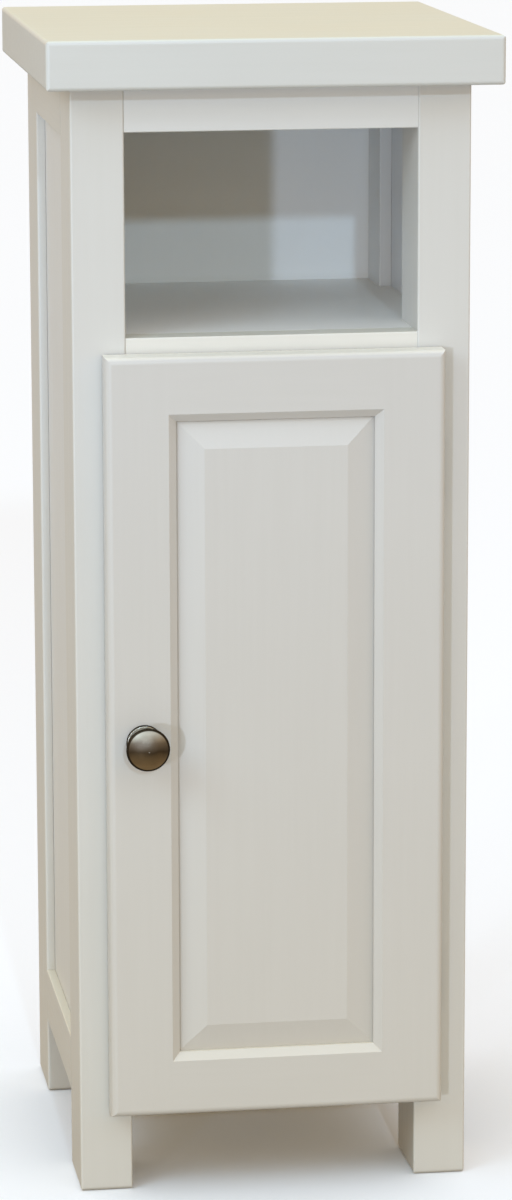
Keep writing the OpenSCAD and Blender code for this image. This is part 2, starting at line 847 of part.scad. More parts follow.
// Leaf on the back of the door, with the middle knuckle.
module hinge_door_leaf(z) {
    low_z = z - hinge_len / 2;
    middle_len = hinge_len - 2 * end_knuckle_len;
    color("#C9C6BD") in_frame() difference() {
        union() {
            difference() {
                translate([leaf_x, door_back_y, low_z]) cube([leaf_w, leaf_t, hinge_len]);
                knuckle_space(low_z - cut, end_knuckle_len + knuckle_gap + cut);
                knuckle_space(low_z + hinge_len - end_knuckle_len - knuckle_gap, end_knuckle_len + knuckle_gap + cut);
            }
            knuckle(low_z + end_knuckle_len + knuckle_gap, middle_len - 2 * knuckle_gap);
        }
        pin_bore(z);
        leaf_screw_places(z) translate([0, door_back_y + leaf_t, 0]) mirror([0, 1, 0]) screw_hole_y(screw_len);
    }
}

module upper_hinge_frame_leaf() { hinge_frame_leaf(hinge_zs[1]); }
module lower_hinge_frame_leaf() { hinge_frame_leaf(hinge_zs[0]); }
module upper_hinge_door_leaf() { hinge_door_leaf(hinge_zs[1]); }
module lower_hinge_door_leaf() { hinge_door_leaf(hinge_zs[0]); }

module hinge_pins() {
    color("#B7BABD") in_frame() for (z = hinge_zs) translate([hinge_x, hinge_y, z - hinge_len / 2]) {
        cylinder(d = hinge_pin_d, h = hinge_len);
        translate([0, 0, -pin_head_t]) cylinder(d = pin_head_d, h = pin_head_t);
        translate([0, 0, hinge_len]) cylinder(d = pin_head_d, h = pin_head_t);
    }
}

module frame_screw_holes() {
    for (z = hinge_zs) leaf_screw_places(z) translate([0, -leaf_t, 0]) screw_hole_y(screw_len);
}

module door_screw_holes() {
    for (z = hinge_zs) leaf_screw_places(z)
        translate([0, door_back_y + leaf_t, 0]) mirror([0, 1, 0]) screw_hole_y(screw_len);
}

module hinge_frame_screws() {
    color("#B7BABD") in_frame()
        for (z = hinge_zs) leaf_screw_places(z) translate([0, -leaf_t, 0]) screw_y(screw_len);
}

module hinge_door_screws() {
    color("#B7BABD") in_frame() for (z = hinge_zs) leaf_screw_places(z)
        translate([0, door_back_y + leaf_t, 0]) mirror([0, 1, 0]) screw_y(screw_len);
}

// ---- magnetic catch on the left post, strike on the door ----

module catch_screw_set(d, length) {
    for (dz = [-1, 1] * catch_screw_pitch / 2)
        translate([catch_x + catch_flange_t - length, catch_d / 2, catch_z + dz]) rod_x(d, length);
}

// Pocket for the magnet between its two pole plates.
module catch_pocket(gap) {
    depth = catch_d - catch_back_wall;
    translate([magnet_x - pole_t - gap, catch_front_y - gap, catch_z - magnet_h / 2 - gap])
        cube([magnet_w + 2 * pole_t + 2 * gap, depth + 2 * gap, magnet_h + 2 * gap]);
}

module catch_case() {
    color("#E4E2DC") in_frame() difference() {
        union() {
            translate([catch_x, catch_case_y, catch_z - catch_h / 2])
                cube([catch_flange_t, catch_d - catch_case_y, catch_h]);
            translate([catch_x, catch_case_y, catch_z - magnet_h / 2 - catch_wall])
                cube([catch_w, catch_d - catch_case_y, magnet_h + 2 * catch_wall]);
        }
        catch_pocket(hole_gap);
        catch_screw_set(screw_d + 2 * hole_gap, catch_screw_len + cut);
    }
}

module catch_magnet() {
    color("#3C3B3A") in_frame() translate([magnet_x, catch_front_y + magnet_back, catch_z - magnet_h / 2])
        cube([magnet_w, catch_d - catch_back_wall - magnet_back, magnet_h]);
}

module catch_pole_plates() {
    color("#A9ACAF") in_frame() for (x = [magnet_x - pole_t, magnet_x + magnet_w])
        translate([x, catch_front_y, catch_z - magnet_h / 2]) cube([pole_t, catch_d - catch_back_wall, magnet_h]);
}

module catch_screws() {
    color("#B7BABD") in_frame() {
        catch_screw_set(screw_d, catch_screw_len);
        for (dz = [-1, 1] * catch_screw_pitch / 2)
            translate([catch_x + catch_flange_t, catch_d / 2, catch_z + dz]) rod_x(pan_head_d, pan_head_t);
    }
}

module strike_screw_hole() {
    translate([strike_x, door_back_y + strike_t, catch_z]) mirror([0, 1, 0]) screw_hole_y(screw_len);
}

module strike_plate() {
    color("#B7BABD") in_frame() difference() {
        translate([strike_x - strike_w / 2, door_back_y, catch_z - strike_h / 2])
            board_y([strike_w, strike_t, strike_h], strike_corner_r);
        strike_screw_hole();
    }
}

module strike_screw() {
    color("#B7BABD") in_frame()
        translate([strike_x, door_back_y + strike_t, catch_z]) mirror([0, 1, 0]) screw_y(screw_len);
}

module door_bumpers() {
    x = -door_w / 2 + door_overlap / 2;
    color("#E8E8E4") in_frame() for (z = [door_z + door_rail_w / 2, door_top_z - door_rail_w / 2])
        translate([x, door_back_y, z]) rod_y(bumper_d, bumper_t);
}

top_slab();
front_left_post();
front_right_post();
back_left_post();
back_right_post();
front_top_rail();
front_middle_rail();
front_bottom_rail();
left_top_rail();
left_bottom_rail();
right_top_rail();
right_bottom_rail();
left_side_panel();
right_side_panel();
back_top_rail();
back_bottom_rail();
back_panel();
niche_shelf();
cupboard_floor();
inner_shelf();
niche_shelf_battens();
floor_battens();
slab_battens();
front_dowels();
side_dowels();
back_dowels();
shelf_pins();
slab_screws();
floor_batten_screws();
door_left_stile();
door_right_stile();
door_top_rail();
door_bottom_rail();
door_panel();
door_dowels();
knob();
knob_rose();
knob_screw();
upper_hinge_frame_leaf();
lower_hinge_frame_leaf();
upper_hinge_door_leaf();
lower_hinge_door_leaf();
hinge_pins();
hinge_frame_screws();
hinge_door_screws();
catch_case();
catch_magnet();
catch_pole_plates();
catch_screws();
strike_plate();
strike_screw();
door_bumpers();
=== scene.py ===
"""Looks of a painted apothecary cabinet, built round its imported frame.

Every board, panel and fitting is a solid of the frame. This script gives each one its finish, and sets up a
pale floor, soft studio light and the camera.
"""

import logging
import math
from dataclasses import dataclass, field
from enum import Enum
from typing import Any

import bpy
from mathutils import Euler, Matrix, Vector

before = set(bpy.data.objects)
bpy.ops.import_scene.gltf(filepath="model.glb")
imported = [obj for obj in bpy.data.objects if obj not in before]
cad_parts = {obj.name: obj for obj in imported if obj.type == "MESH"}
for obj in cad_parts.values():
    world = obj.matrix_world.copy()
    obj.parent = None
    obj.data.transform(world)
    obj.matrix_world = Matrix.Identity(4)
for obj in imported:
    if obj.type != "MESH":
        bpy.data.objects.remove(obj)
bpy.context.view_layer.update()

log = logging.getLogger("cabinet")

MM = 0.001  # one millimetre in the frame's metres


class Grain(Enum):
    """The way a board's long fibres run: across the cabinet, from front to back, or up."""

    ACROSS = (1.0, 0.0, 0.0)
    DEEP = (0.0, 1.0, 0.0)
    UP = (0.0, 0.0, 1.0)

    def streak(self, long_mm: float, cross_mm: float) -> tuple[float, float, float]:
        """Gives the size along X, Y and Z of a streak that follows the fibres."""
        return tuple(long_mm if axis else cross_mm for axis in self.value)


def linear(hex_colour: str) -> tuple[float, float, float, float]:
    """Turns an sRGB hex colour into the linear colour that the shaders take.

    Args:
        hex_colour: Six hex digits, with or without a leading hash.

    Returns:
        Red, green, blue and an alpha of 1.
    """
    digits = hex_colour.lstrip("#")
    channels = [int(digits[i : i + 2], 16) / 255 for i in (0, 2, 4)]
    return (*[c / 12.92 if c <= 0.04045 else ((c + 0.055) / 1.055) ** 2.4 for c in channels], 1.0)


def add_node(
    tree: bpy.types.NodeTree,
    kind: str,
    settings: dict[str, Any] | None = None,
    inputs: dict[str | int, Any] | None = None,
    stops: list[tuple[float, str]] | None = None,
) -> bpy.types.Node:
    """Adds one shader node, sets its properties, and fills or links its inputs.

    Args:
        tree: The material's node tree.
        kind: The node's type name.
        settings: Properties of the node itself.
        inputs: A value or an output socket for each input, by name or by number.
        stops: For a colour ramp, places from 0 to 1 with the hex colour at each.

    Returns:
        The new node.
    """
    node = tree.nodes.new(kind)
    for name, value in (settings or {}).items():
        setattr(node, name, value)
    for key, value in (inputs or {}).items():
        if isinstance(value, bpy.types.NodeSocket):
            tree.links.new(value, node.inputs[key])
        else:
            node.inputs[key].default_value = value
    if stops:
        elements = node.color_ramp.elements
        while len(elements) < len(stops):
            elements.new(1.0)
        for element, (at, colour) in zip(elements, stops):
            element.position = at
            element.color = linear(colour)
    return node


def middle(node: str) -> Vector:
    """Gives the middle of the box round one of the frame's nodes, in metres."""
    corners = [Vector(corner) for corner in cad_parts[node].bound_box]
    return sum(corners, Vector()) / len(corners)


@dataclass(frozen=True)
class Finish:
    """What every finish shares: a name, a base colour and how rough it is."""

    name: str
    colour: str
    roughness: float

    def start(self) -> tuple[bpy.types.Material, bpy.types.NodeTree, bpy.types.Node, bpy.types.NodeSocket]:
        """Makes the empty material.

        Returns:
            The material, its tree, its shader and the place of each point in metres.
        """
        material = bpy.data.materials.new(self.name)
        material.use_nodes = True
        tree = material.node_tree
        shader = tree.nodes["Principled BSDF"]
        shader.inputs["Base Color"].default_value = linear(self.colour)
        shader.inputs["Roughness"].default_value = self.roughness
        place = add_node(tree, "ShaderNodeTexCoord").outputs["Object"]
        return material, tree, shader, place

    def noise(
        self,
        tree: bpy.types.NodeTree,
        place: bpy.types.NodeSocket,
        size_mm: tuple[float, float, float],
        detail: float = 2.0,
    ) -> bpy.types.NodeSocket:
        """Adds noise whose features have a real size in millimetres along X, Y and Z.

        Args:
            tree: The material's node tree.
            place: The point's place in metres.
            size_mm: Size of a feature along each axis.
            detail: Octaves of finer noise on top.

        Returns:
            The noise's factor.
        """
        scale = tuple(1 / (size * MM) for size in size_mm)
        mapped = add_node(tree, "ShaderNodeMapping", inputs={"Vector": place, "Scale": scale})
        noise = add_node(
            tree, "ShaderNodeTexNoise", inputs={"Vector": mapped.outputs[0], "Scale": 1.0, "Detail": detail}
        )
        return noise.outputs["Fac"]


@dataclass(frozen=True)
class SatinPaint(Finish):
    """Satin alkyd paint, brushed on primed wood: a soft sheen with fine brush lines along each board, and
    painted light: a creamier tone on upward faces, a warmer tone near the floor and painted shade in corners.
    """

    grain: Grain = Grain.UP
    top_light: str = "#E6E3D6"  # painted light: the paint's tone on upward faces, where light falls from above
    top_light_from: float = 0.5  # rise of the surface's normal where the painted top light begins
    top_light_full: float = 0.95
    low: str = "#FCF8EF"  # painted warm bounce light: multiplies the tone towards the floor, to make it slightly warmer
    low_full_mm: float = 50.0
    low_ends_mm: float = 600.0
    corner_shade: str = "#CFC8BA"  # painted shade: multiplies the tone in corners and joints, found by ambient occlusion
    corner_shade_reach_mm: float = 7.0
    corner_shade_share: float = 0.22
    brush_mm: float = 1.4  # bristle lines are near 0.3 mm apart, drawn coarser so that they show
    brush_depth_mm: float = 0.05
    stroke_mm: float = 90.0
    fibre_mm: float = 4.0  # the wood's fibres telegraph through the coats
    fibre_long_mm: float = 120.0
    fibre_depth_mm: float = 0.12
    fibre_share: float = 0.04
    peel_mm: float = 2.6  # slight orange peel of a levelled coat
    peel_depth_mm: float = 0.05
    drift_mm: float = 160.0  # slow change of tone from one coat's edge to the next
    drift_share: float = 0.05
    ior: float = 1.48

    def build(self) -> bpy.types.Material:
        """Makes the paint's material."""
        material, tree, shader, place = self.start()
        shader.inputs["IOR"].default_value = self.ior
        drift = self.noise(tree, place, (self.drift_mm,) * 3, detail=3.0)
        fibre = self.noise(tree, place, self.grain.streak(self.fibre_long_mm, self.fibre_mm), detail=4.0)
        strokes = self.noise(tree, place, self.grain.streak(self.stroke_mm, self.brush_mm), detail=3.0)
        peel = self.noise(tree, place, (self.peel_mm,) * 3, detail=1.0)
        normal = add_node(tree, "ShaderNodeTexCoord").outputs["Normal"]
        rise = add_node(tree, "ShaderNodeSeparateXYZ", inputs={0: normal}).outputs["Z"]
        # painted light: upward faces take a lighter, creamier tone, as if lit from above
        top_light = add_node(
            tree,
            "ShaderNodeMapRange",
            inputs={"Value": rise, "From Min": self.top_light_from, "From Max": self.top_light_full},
        )
        top_lit = add_node(
            tree,
            "ShaderNodeMixRGB",
            inputs={"Fac": top_light.outputs[0], "Color1": linear(self.colour), "Color2": linear(self.top_light)},
        )
        # painted light: the tone grows warmer towards the floor, standing in for warm light bounced up from
        # it
        height = add_node(tree, "ShaderNodeSeparateXYZ", inputs={0: place}).outputs["Z"]
        floor_bounce_share = add_node(
            tree,
            "ShaderNodeMapRange",
            inputs={
                "Value": height,
                "From Min": self.low_full_mm * MM,
                "From Max": self.low_ends_mm * MM,
                "To Min": 1.0,
                "To Max": 0.0,
            },
        )
        bounce_warmed = add_node(
            tree,
            "ShaderNodeMixRGB",
            {"blend_type": "MULTIPLY"},
            {"Fac": floor_bounce_share.outputs[0], "Color1": top_lit.outputs[0], "Color2": linear(self.low)},
        )
        clean = add_node(
            tree,
            "ShaderNodeMixRGB",
            {"blend_type": "MULTIPLY"},
            {"Fac": self.drift_share, "Color1": bounce_warmed.outputs[0], "Color2": drift},
        )
        streaked = add_node(
            tree,
            "ShaderNodeMixRGB",
            {"blend_type": "SOFT_LIGHT"},
            {"Fac": self.fibre_share, "Color1": clean.outputs[0], "Color2": fibre},
        )
        # painted shade: ambient occlusion darkens and warms the tone in corners and joints
        corner = add_node(
            tree,
            "ShaderNodeAmbientOcclusion",
            {"samples": 6, "only_local": False},
            {"Distance": self.corner_shade_reach_mm * MM},
        )
        corner_shade_mask = add_node(
            tree,
            "ShaderNodeMapRange",
            inputs={
                "Value": corner.outputs["AO"],
                "From Min": 0.25,
                "From Max": 0.95,
                "To Min": self.corner_shade_share,
                "To Max": 0.0,
            },
        )
        corner_shaded = add_node(
            tree,
            "ShaderNodeMixRGB",
            {"blend_type": "MULTIPLY"},
            {"Fac": corner_shade_mask.outputs[0], "Color1": streaked.outputs[0], "Color2": linear(self.corner_shade)},
        )
        tree.links.new(corner_shaded.outputs[0], shader.inputs["Base Color"])
        gloss = add_node(
            tree,
            "ShaderNodeMapRange",
            inputs={
                "Value": fibre,
                "From Min": 0.3,
                "From Max": 0.7,
                "To Min": self.roughness - 0.05,
                "To Max": self.roughness + 0.07,
            },
        )
        tree.links.new(gloss.outputs[0], shader.inputs["Roughness"])
        fine = add_node(
            tree,
            "ShaderNodeBump",
            inputs={"Strength": 0.35, "Distance": self.peel_depth_mm * MM, "Height": peel},
        )
        brushed = add_node(
            tree,
            "ShaderNodeBump",
            inputs={
                "Strength": 0.3,
                "Distance": self.brush_depth_mm * MM,
                "Height": strokes,
                "Normal": fine.outputs[0],
            },
        )
        raised = add_node(
            tree,
            "ShaderNodeBump",
            inputs={
                "Strength": 0.25,
                "Distance": self.fibre_depth_mm * MM,
                "Height": fibre,
                "Normal": brushed.outputs[0],
            },
        )
        tree.links.new(raised.outputs[0], shader.inputs["Normal"])
        return material


@dataclass(frozen=True)
class AgedBrass(Finish):
    """Turned brass, chemically darkened, with a painted reflection by facing: pewter-grey above as if
    mirroring a bright ceiling, brown below as if mirroring a brown floor, and dark round the edge.
    """

    # painted reflection: the tones below follow the normal's rise, grey above and brown below, as a mirrored
    # room would give
    upper_reflection: str = "#726A60"
    top_highlight: str = "#BFB8A8"  # painted highlight: the lightest tone, on the most upward part of the crown
    lower_reflection: str = "#9A805C"
    edge: str = "#332B20"
    edge_from_mm: float = 14.9  # radius of the crown, outside which the metal is dark
    edge_fade_mm: tuple[float, float] = (0.3, 0.2)  # how far the fade reaches in and out from there
    turned: str = "knob"  # the piece whose axis the dark edge runs round
    steep: float = 0.6  # rise of the surface's normal at the crown's rim, where the tone is at its lightest
    cloud_mm: float = 9.0
    cloud_shift: float = 0.06
    speck_mm: float = 0.8
    speck_depth_mm: float = 0.02

    def build(self) -> bpy.types.Material:
        """Makes the brass's material."""
        material, tree, shader, place = self.start()
        shader.inputs["Metallic"].default_value = 1.0
        cloud = self.noise(tree, place, (self.cloud_mm,) * 3, detail=3.0)
        speck = self.noise(tree, place, (self.speck_mm,) * 3, detail=3.0)
        normal = add_node(tree, "ShaderNodeTexCoord").outputs["Normal"]
        facing = add_node(tree, "ShaderNodeSeparateXYZ", inputs={0: normal})
        drifted = add_node(
            tree,
            "ShaderNodeMapRange",
            inputs={
                "Value": cloud,
                "From Min": 0.2,
                "From Max": 0.8,
                "To Min": -self.cloud_shift,
                "To Max": self.cloud_shift,
            },
        )
        rise = add_node(
            tree, "ShaderNodeMath", {"operation": "ADD"}, {0: facing.outputs["Z"], 1: drifted.outputs[0]}
        )
        height = add_node(
            tree,
            "ShaderNodeMapRange",
            inputs={"Value": rise.outputs[0], "From Min": -self.steep, "From Max": self.steep},
        )
        # painted reflection: the tone ramps from brown on faces turned down to a painted highlight on faces
        # turned up
        tone = add_node(
            tree,
            "ShaderNodeValToRGB",
            inputs={"Fac": height.outputs[0]},
            stops=[(0.1, self.lower_reflection), (0.48, self.colour), (0.72, self.upper_reflection), (0.97, self.top_highlight)],
        )
        offset = add_node(
            tree, "ShaderNodeVectorMath", {"operation": "SUBTRACT"}, {0: place, 1: middle(self.turned)}
        )
        flat = add_node(
            tree, "ShaderNodeVectorMath", {"operation": "MULTIPLY"}, {0: offset.outputs[0], 1: (1, 0, 1)}
        )
        radius = add_node(tree, "ShaderNodeVectorMath", {"operation": "LENGTH"}, {0: flat.outputs[0]})
        outside = add_node(
            tree,
            "ShaderNodeMapRange",
            inputs={
                "Value": radius.outputs["Value"],
                "From Min": (self.edge_from_mm - self.edge_fade_mm[0]) * MM,
                "From Max": (self.edge_from_mm + self.edge_fade_mm[1]) * MM,
            },
        )
        edged = add_node(
            tree,
            "ShaderNodeMixRGB",
            inputs={"Fac": outside.outputs[0], "Color1": tone.outputs[0], "Color2": linear(self.edge)},
        )
        tree.links.new(edged.outputs[0], shader.inputs["Base Color"])
        rough = add_node(
            tree,
            "ShaderNodeMapRange",
            inputs={
                "Value": speck,
                "From Min": 0.3,
                "From Max": 0.7,
                "To Min": self.roughness - 0.05,
                "To Max": self.roughness + 0.08,
            },
        )
        tree.links.new(rough.outputs[0], shader.inputs["Roughness"])
        bump = add_node(
            tree,
            "ShaderNodeBump",
            inputs={"Strength": 0.2, "Distance": self.speck_depth_mm * MM, "Height": speck},
        )
        tree.links.new(bump.outputs[0], shader.inputs["Normal"])
        return material


@dataclass(frozen=True)
class PlatedSteel(Finish):
    """Pressed or turned steel with a thin bright plating: fine drawn lines and a few dull specks."""

    line_mm: float = 0.6
    line_long_mm: float = 14.0
    line_depth_mm: float = 0.02
    speck_mm: float = 2.2
    speck_share: float = 0.25

    def build(self) -> bpy.types.Material:
        """Makes the steel's material."""
        material, tree, shader, place = self.start()
        shader.inputs["Metallic"].default_value = 1.0
        lines = self.noise(tree, place, Grain.UP.streak(self.line_long_mm, self.line_mm), detail=3.0)
        specks = self.noise(tree, place, (self.speck_mm,) * 3, detail=4.0)
        tone = add_node(
            tree,
            "ShaderNodeMixRGB",
            {"blend_type": "MULTIPLY"},
            {"Fac": self.speck_share, "Color1": linear(self.colour), "Color2": specks},
        )
        tree.links.new(tone.outputs[0], shader.inputs["Base Color"])
        rough = add_node(
            tree,
            "ShaderNodeMapRange",
            inputs={
                "Value": lines,
                "From Min": 0.3,
                "From Max": 0.7,
                "To Min": self.roughness - 0.08,
                "To Max": self.roughness + 0.1,
            },
        )
        tree.links.new(rough.outputs[0], shader.inputs["Roughness"])
        bump = add_node(
            tree,
            "ShaderNodeBump",
            inputs={"Strength": 0.3, "Distance": self.line_depth_mm * MM, "Height": lines},
        )
        tree.links.new(bump.outputs[0], shader.inputs["Normal"])
        return material


@dataclass(frozen=True)
class BareBeech(Finish):
    """Turned beech dowel, unfinished: pale pinkish wood with short dark flecks."""

    fleck: str = "#A57B50"
    fleck_mm: float = 0.7
    fleck_long_mm: float = 5.6
    fleck_depth_mm: float = 0.05

    def build(self) -> bpy.types.Material:
        """Makes the wood's material."""
        material, tree, shader, place = self.start()
        flecks = self.noise(tree, place, Grain.ACROSS.streak(self.fleck_long_mm, self.fleck_mm), detail=4.0)
        tone = add_node(
            tree, "ShaderNodeValToRGB", inputs={"Fac": flecks}, stops=[(0.35, self.fleck), (0.6, self.colour)]
        )
        tree.links.new(tone.outputs[0], shader.inputs["Base Color"])
        bump = add_node(
            tree,
            "ShaderNodeBump",
            inputs={"Strength": 0.4, "Distance": self.fleck_depth_mm * MM, "Height": flecks},
        )
        tree.links.new(bump.outputs[0], shader.inputs["Normal"])
        return material


@dataclass(frozen=True)
class Moulded(Finish):
    """Injection-moulded plastic, cast rubber or sintered ferrite: an even body with a fine surface grain."""

    grain_mm: float = 0.6
    grain_depth_mm: float = 0.03
    mottle: str = "#FFFFFF"
    mottle_mm: float = 20.0
    clear: float = 0.0  # how much of the light passes through

    def build(self) -> bpy.types.Material:
        """Makes the moulding's material."""
        material, tree, shader, place = self.start()
        shader.inputs["Transmission Weight"].default_value = self.clear
        fine = self.noise(tree, place, (self.grain_mm,) * 3, detail=2.0)
        cloud = self.noise(tree, place, (self.mottle_mm,) * 3, detail=2.0)
        tone = add_node(
            tree,
            "ShaderNodeMixRGB",
            {"blend_type": "MULTIPLY"},
            {"Fac": cloud, "Color1": linear(self.colour), "Color2": linear(self.mottle)},
        )
        tree.links.new(tone.outputs[0], shader.inputs["Base Color"])
        bump = add_node(
            tree,
            "ShaderNodeBump",
            inputs={"Strength": 0.5, "Distance": self.grain_depth_mm * MM, "Height": fine},
        )
        tree.links.new(bump.outputs[0], shader.inputs["Normal"])
        return material


BODY_WHITE = "#D9D8D4"
DOOR_WHITE = "#D3D1CD"
# painted light: a lighter copy of the white for the middle rail, standing in for light bounced up off the
# door's top edge
MIDDLE_RAIL_LIT_WHITE = "#E5E3DC"
TOP_WHITE = "#D5D6D3"
# painted light: the slab's warm tone on its upward faces, where light falls from above
SLAB_TOP_LIGHT = "#DEDFCF"
# painted light: a lighter copy of the white for the top rail, taking out the shade that falls under the slab
TOP_RAIL_LIT_WHITE = "#DFE0DF"
PANEL_WHITE = "#DFE0E0"
# painted light: a lighter copy of the white for the inside, standing in for light the niche lacks; the next
# tone is its painted top light on upward faces
INSIDE_LIT_WHITE = "#EFEFEB"
INSIDE_TOP_LIGHT = "#FBF9F4"
# painted light: the door's lighter tone on its upward faces
DOOR_TOP_LIGHT = "#F3EFE2"
# the knob's dark middle tone is both the brass's own darkened colour and a painted reflection of the dim room
# in front
AGED_BRASS = AgedBrass("aged_brass", "#4E4131", 0.47)
ROSE_BRASS = AgedBrass(
    "rose_brass", "#C9C6B8", 0.36, upper_reflection="#CFCBBD", top_highlight="#CFCBBD", lower_reflection="#C2BAA6", edge_from_mm=13.0
)
HINGE_STEEL = PlatedSteel("hinge_steel", "#BDBAB2", 0.32)
SCREW_ZINC = PlatedSteel("screw_zinc", "#B5AE9A", 0.36)
BEECH = BareBeech("dowel_beech", "#D8B98C", 0.6)
CATCH_PLASTIC = Moulded("catch_plastic", "#E6E3DB", 0.42, mottle="#F6F4EE")
FERRITE = Moulded("magnet_ferrite", "#2B2A29", 0.55, grain_depth_mm=0.05, mottle="#C8C8C8")
SILICONE = Moulded("bumper_silicone", "#E4E6E2", 0.35, mottle="#F4F4F4", clear=0.4)


def dress(nodes: list[str], finish: Finish) -> None:
    """Gives the frame's nodes one finish.

    Args:
        nodes: Names of the nodes.
        finish: The finish that they all take.
    """
    material = finish.build()
    for name in nodes:
        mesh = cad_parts[name].data
        for slot in range(len(mesh.materials)):
            mesh.materials[slot] = material
        if not mesh.materials:
            mesh.materials.append(material)
        log.info("%s takes %s", name, finish.name)


@dataclass
class Carcass:
    """The slab, posts, rails, panels, shelves and what holds them together."""

    upright: list[str] = field(
        default_factory=lambda: ["front_left_post", "front_right_post", "back_left_post", "back_right_post"]
    )
    crosswise: list[str] = field(
        default_factory=lambda: ["front_bottom_rail", "back_top_rail", "back_bottom_rail"]
    )
    deep: list[str] = field(
        default_factory=lambda: ["left_top_rail", "left_bottom_rail", "right_top_rail", "right_bottom_rail"]
    )
    side_panels: list[str] = field(default_factory=lambda: ["left_side_panel", "right_side_panel"])
    boards: list[str] = field(default_factory=lambda: ["niche_shelf", "cupboard_floor", "inner_shelf"])
    battens: list[str] = field(
        default_factory=lambda: ["niche_shelf_battens", "floor_battens", "slab_battens"]
    )
    dowels: list[str] = field(default_factory=lambda: ["front_dowels", "side_dowels", "back_dowels"])
    screws: list[str] = field(default_factory=lambda: ["slab_screws", "floor_batten_screws"])

    def dress(self) -> None:
        """Gives each board paint whose brush lines follow its fibres."""
        dress(["top_slab"], SatinPaint("paint_slab", TOP_WHITE, 0.36, Grain.ACROSS, SLAB_TOP_LIGHT))
        dress(self.upright, SatinPaint("paint_posts", BODY_WHITE, 0.40, Grain.UP))
        dress(self.crosswise, SatinPaint("paint_rails", BODY_WHITE, 0.40, Grain.ACROSS))
        dress(["front_top_rail"], SatinPaint("paint_top_rail_lit", TOP_RAIL_LIT_WHITE, 0.40, Grain.ACROSS))
        dress(["front_middle_rail"], SatinPaint("paint_middle_rail_lit", MIDDLE_RAIL_LIT_WHITE, 0.38, Grain.ACROSS))
        dress(self.deep, SatinPaint("paint_side_rails", BODY_WHITE, 0.40, Grain.DEEP))
        dress(self.side_panels, SatinPaint("paint_side_panels", PANEL_WHITE, 0.42, Grain.UP))
        dress(["back_panel"], SatinPaint("paint_back_panel", INSIDE_LIT_WHITE, 0.46, Grain.UP, INSIDE_TOP_LIGHT))
        dress(self.boards, SatinPaint("paint_shelves", INSIDE_LIT_WHITE, 0.44, Grain.ACROSS, INSIDE_TOP_LIGHT))
        dress(self.battens, SatinPaint("paint_battens", INSIDE_LIT_WHITE, 0.46, Grain.DEEP, INSIDE_TOP_LIGHT))
        dress(self.dowels, BEECH)
        dress(self.screws, SCREW_ZINC)
        dress(["shelf_pins"], HINGE_STEEL)


@dataclass
class Door:
    """The framed door with its raised panel, and the strike and bumpers on its back."""

    stiles: list[str] = field(default_factory=lambda: ["door_left_stile", "door_right_stile"])
    rails: list[str] = field(default_factory=lambda: ["door_top_rail", "door_bottom_rail"])

    def dress(self) -> None:
        """Gives the frame and the panel their paint, and the small pieces their own finish."""
        dress(self.stiles, SatinPaint("paint_stiles", DOOR_WHITE, 0.38, Grain.UP, DOOR_TOP_LIGHT))
        dress(self.rails, SatinPaint("paint_door_rails", DOOR_WHITE, 0.38, Grain.ACROSS, DOOR_TOP_LIGHT))
        dress(["door_panel"], SatinPaint("paint_door_panel", DOOR_WHITE, 0.38, Grain.UP, DOOR_TOP_LIGHT))
        dress(["door_dowels"], BEECH)
        dress(["door_bumpers"], SILICONE)


@dataclass
class Fittings:
    """The hinges, the catch and the knob."""

    hinge_leaves: list[str] = field(
        default_factory=lambda: [
            f"{height}_hinge_{side}_leaf" for side in ("frame", "door") for height in ("upper", "lower")
        ]
    )
    screws: list[str] = field(
        default_factory=lambda: [
            "hinge_frame_screws",
            "hinge_door_screws",
            "catch_screws",
            "strike_screw",
            "knob_screw",
        ]
    )

    def dress(self) -> None:
        """Gives the metal and plastic pieces their finishes."""
        dress([*self.hinge_leaves, "hinge_pins", "catch_pole_plates", "strike_plate"], HINGE_STEEL)
        dress(self.screws, SCREW_ZINC)
        dress(["catch_case"], CATCH_PLASTIC)
        dress(["catch_magnet"], FERRITE)
        dress(["knob"], AGED_BRASS)
        dress(["knob_rose"], ROSE_BRASS)


@dataclass(frozen=True)
class Sun:
    """A distant lamp, given by where it stands as seen from the cabinet.

    Attributes:
        name: Name of the lamp.
        left_degrees: How far to the left of straight ahead it stands.
        up_degrees: How high it stands.
        strength: Irradiance in watts a square metre.
        colour: Hex colour.
        softness: Apparent width in degrees.
    """

    name: str
    left_degrees: float
    up_degrees: float
    strength: float
    colour: str
    softness: float

    def hang(self) -> None:
        """Hangs the lamp, turned so that it shines on the cabinet."""
        lamp = bpy.data.lights.new(self.name, "SUN")
        lamp.energy = self.strength
        lamp.color = linear(self.colour)[:3]
        lamp.angle = math.radians(self.softness)
        holder = bpy.data.objects.new(self.name, lamp)
        holder.rotation_euler = Euler(
            (math.radians(90 - self.up_degrees), 0, math.radians(-self.left_degrees)), "XYZ"
        )
        bpy.context.collection.objects.link(holder)


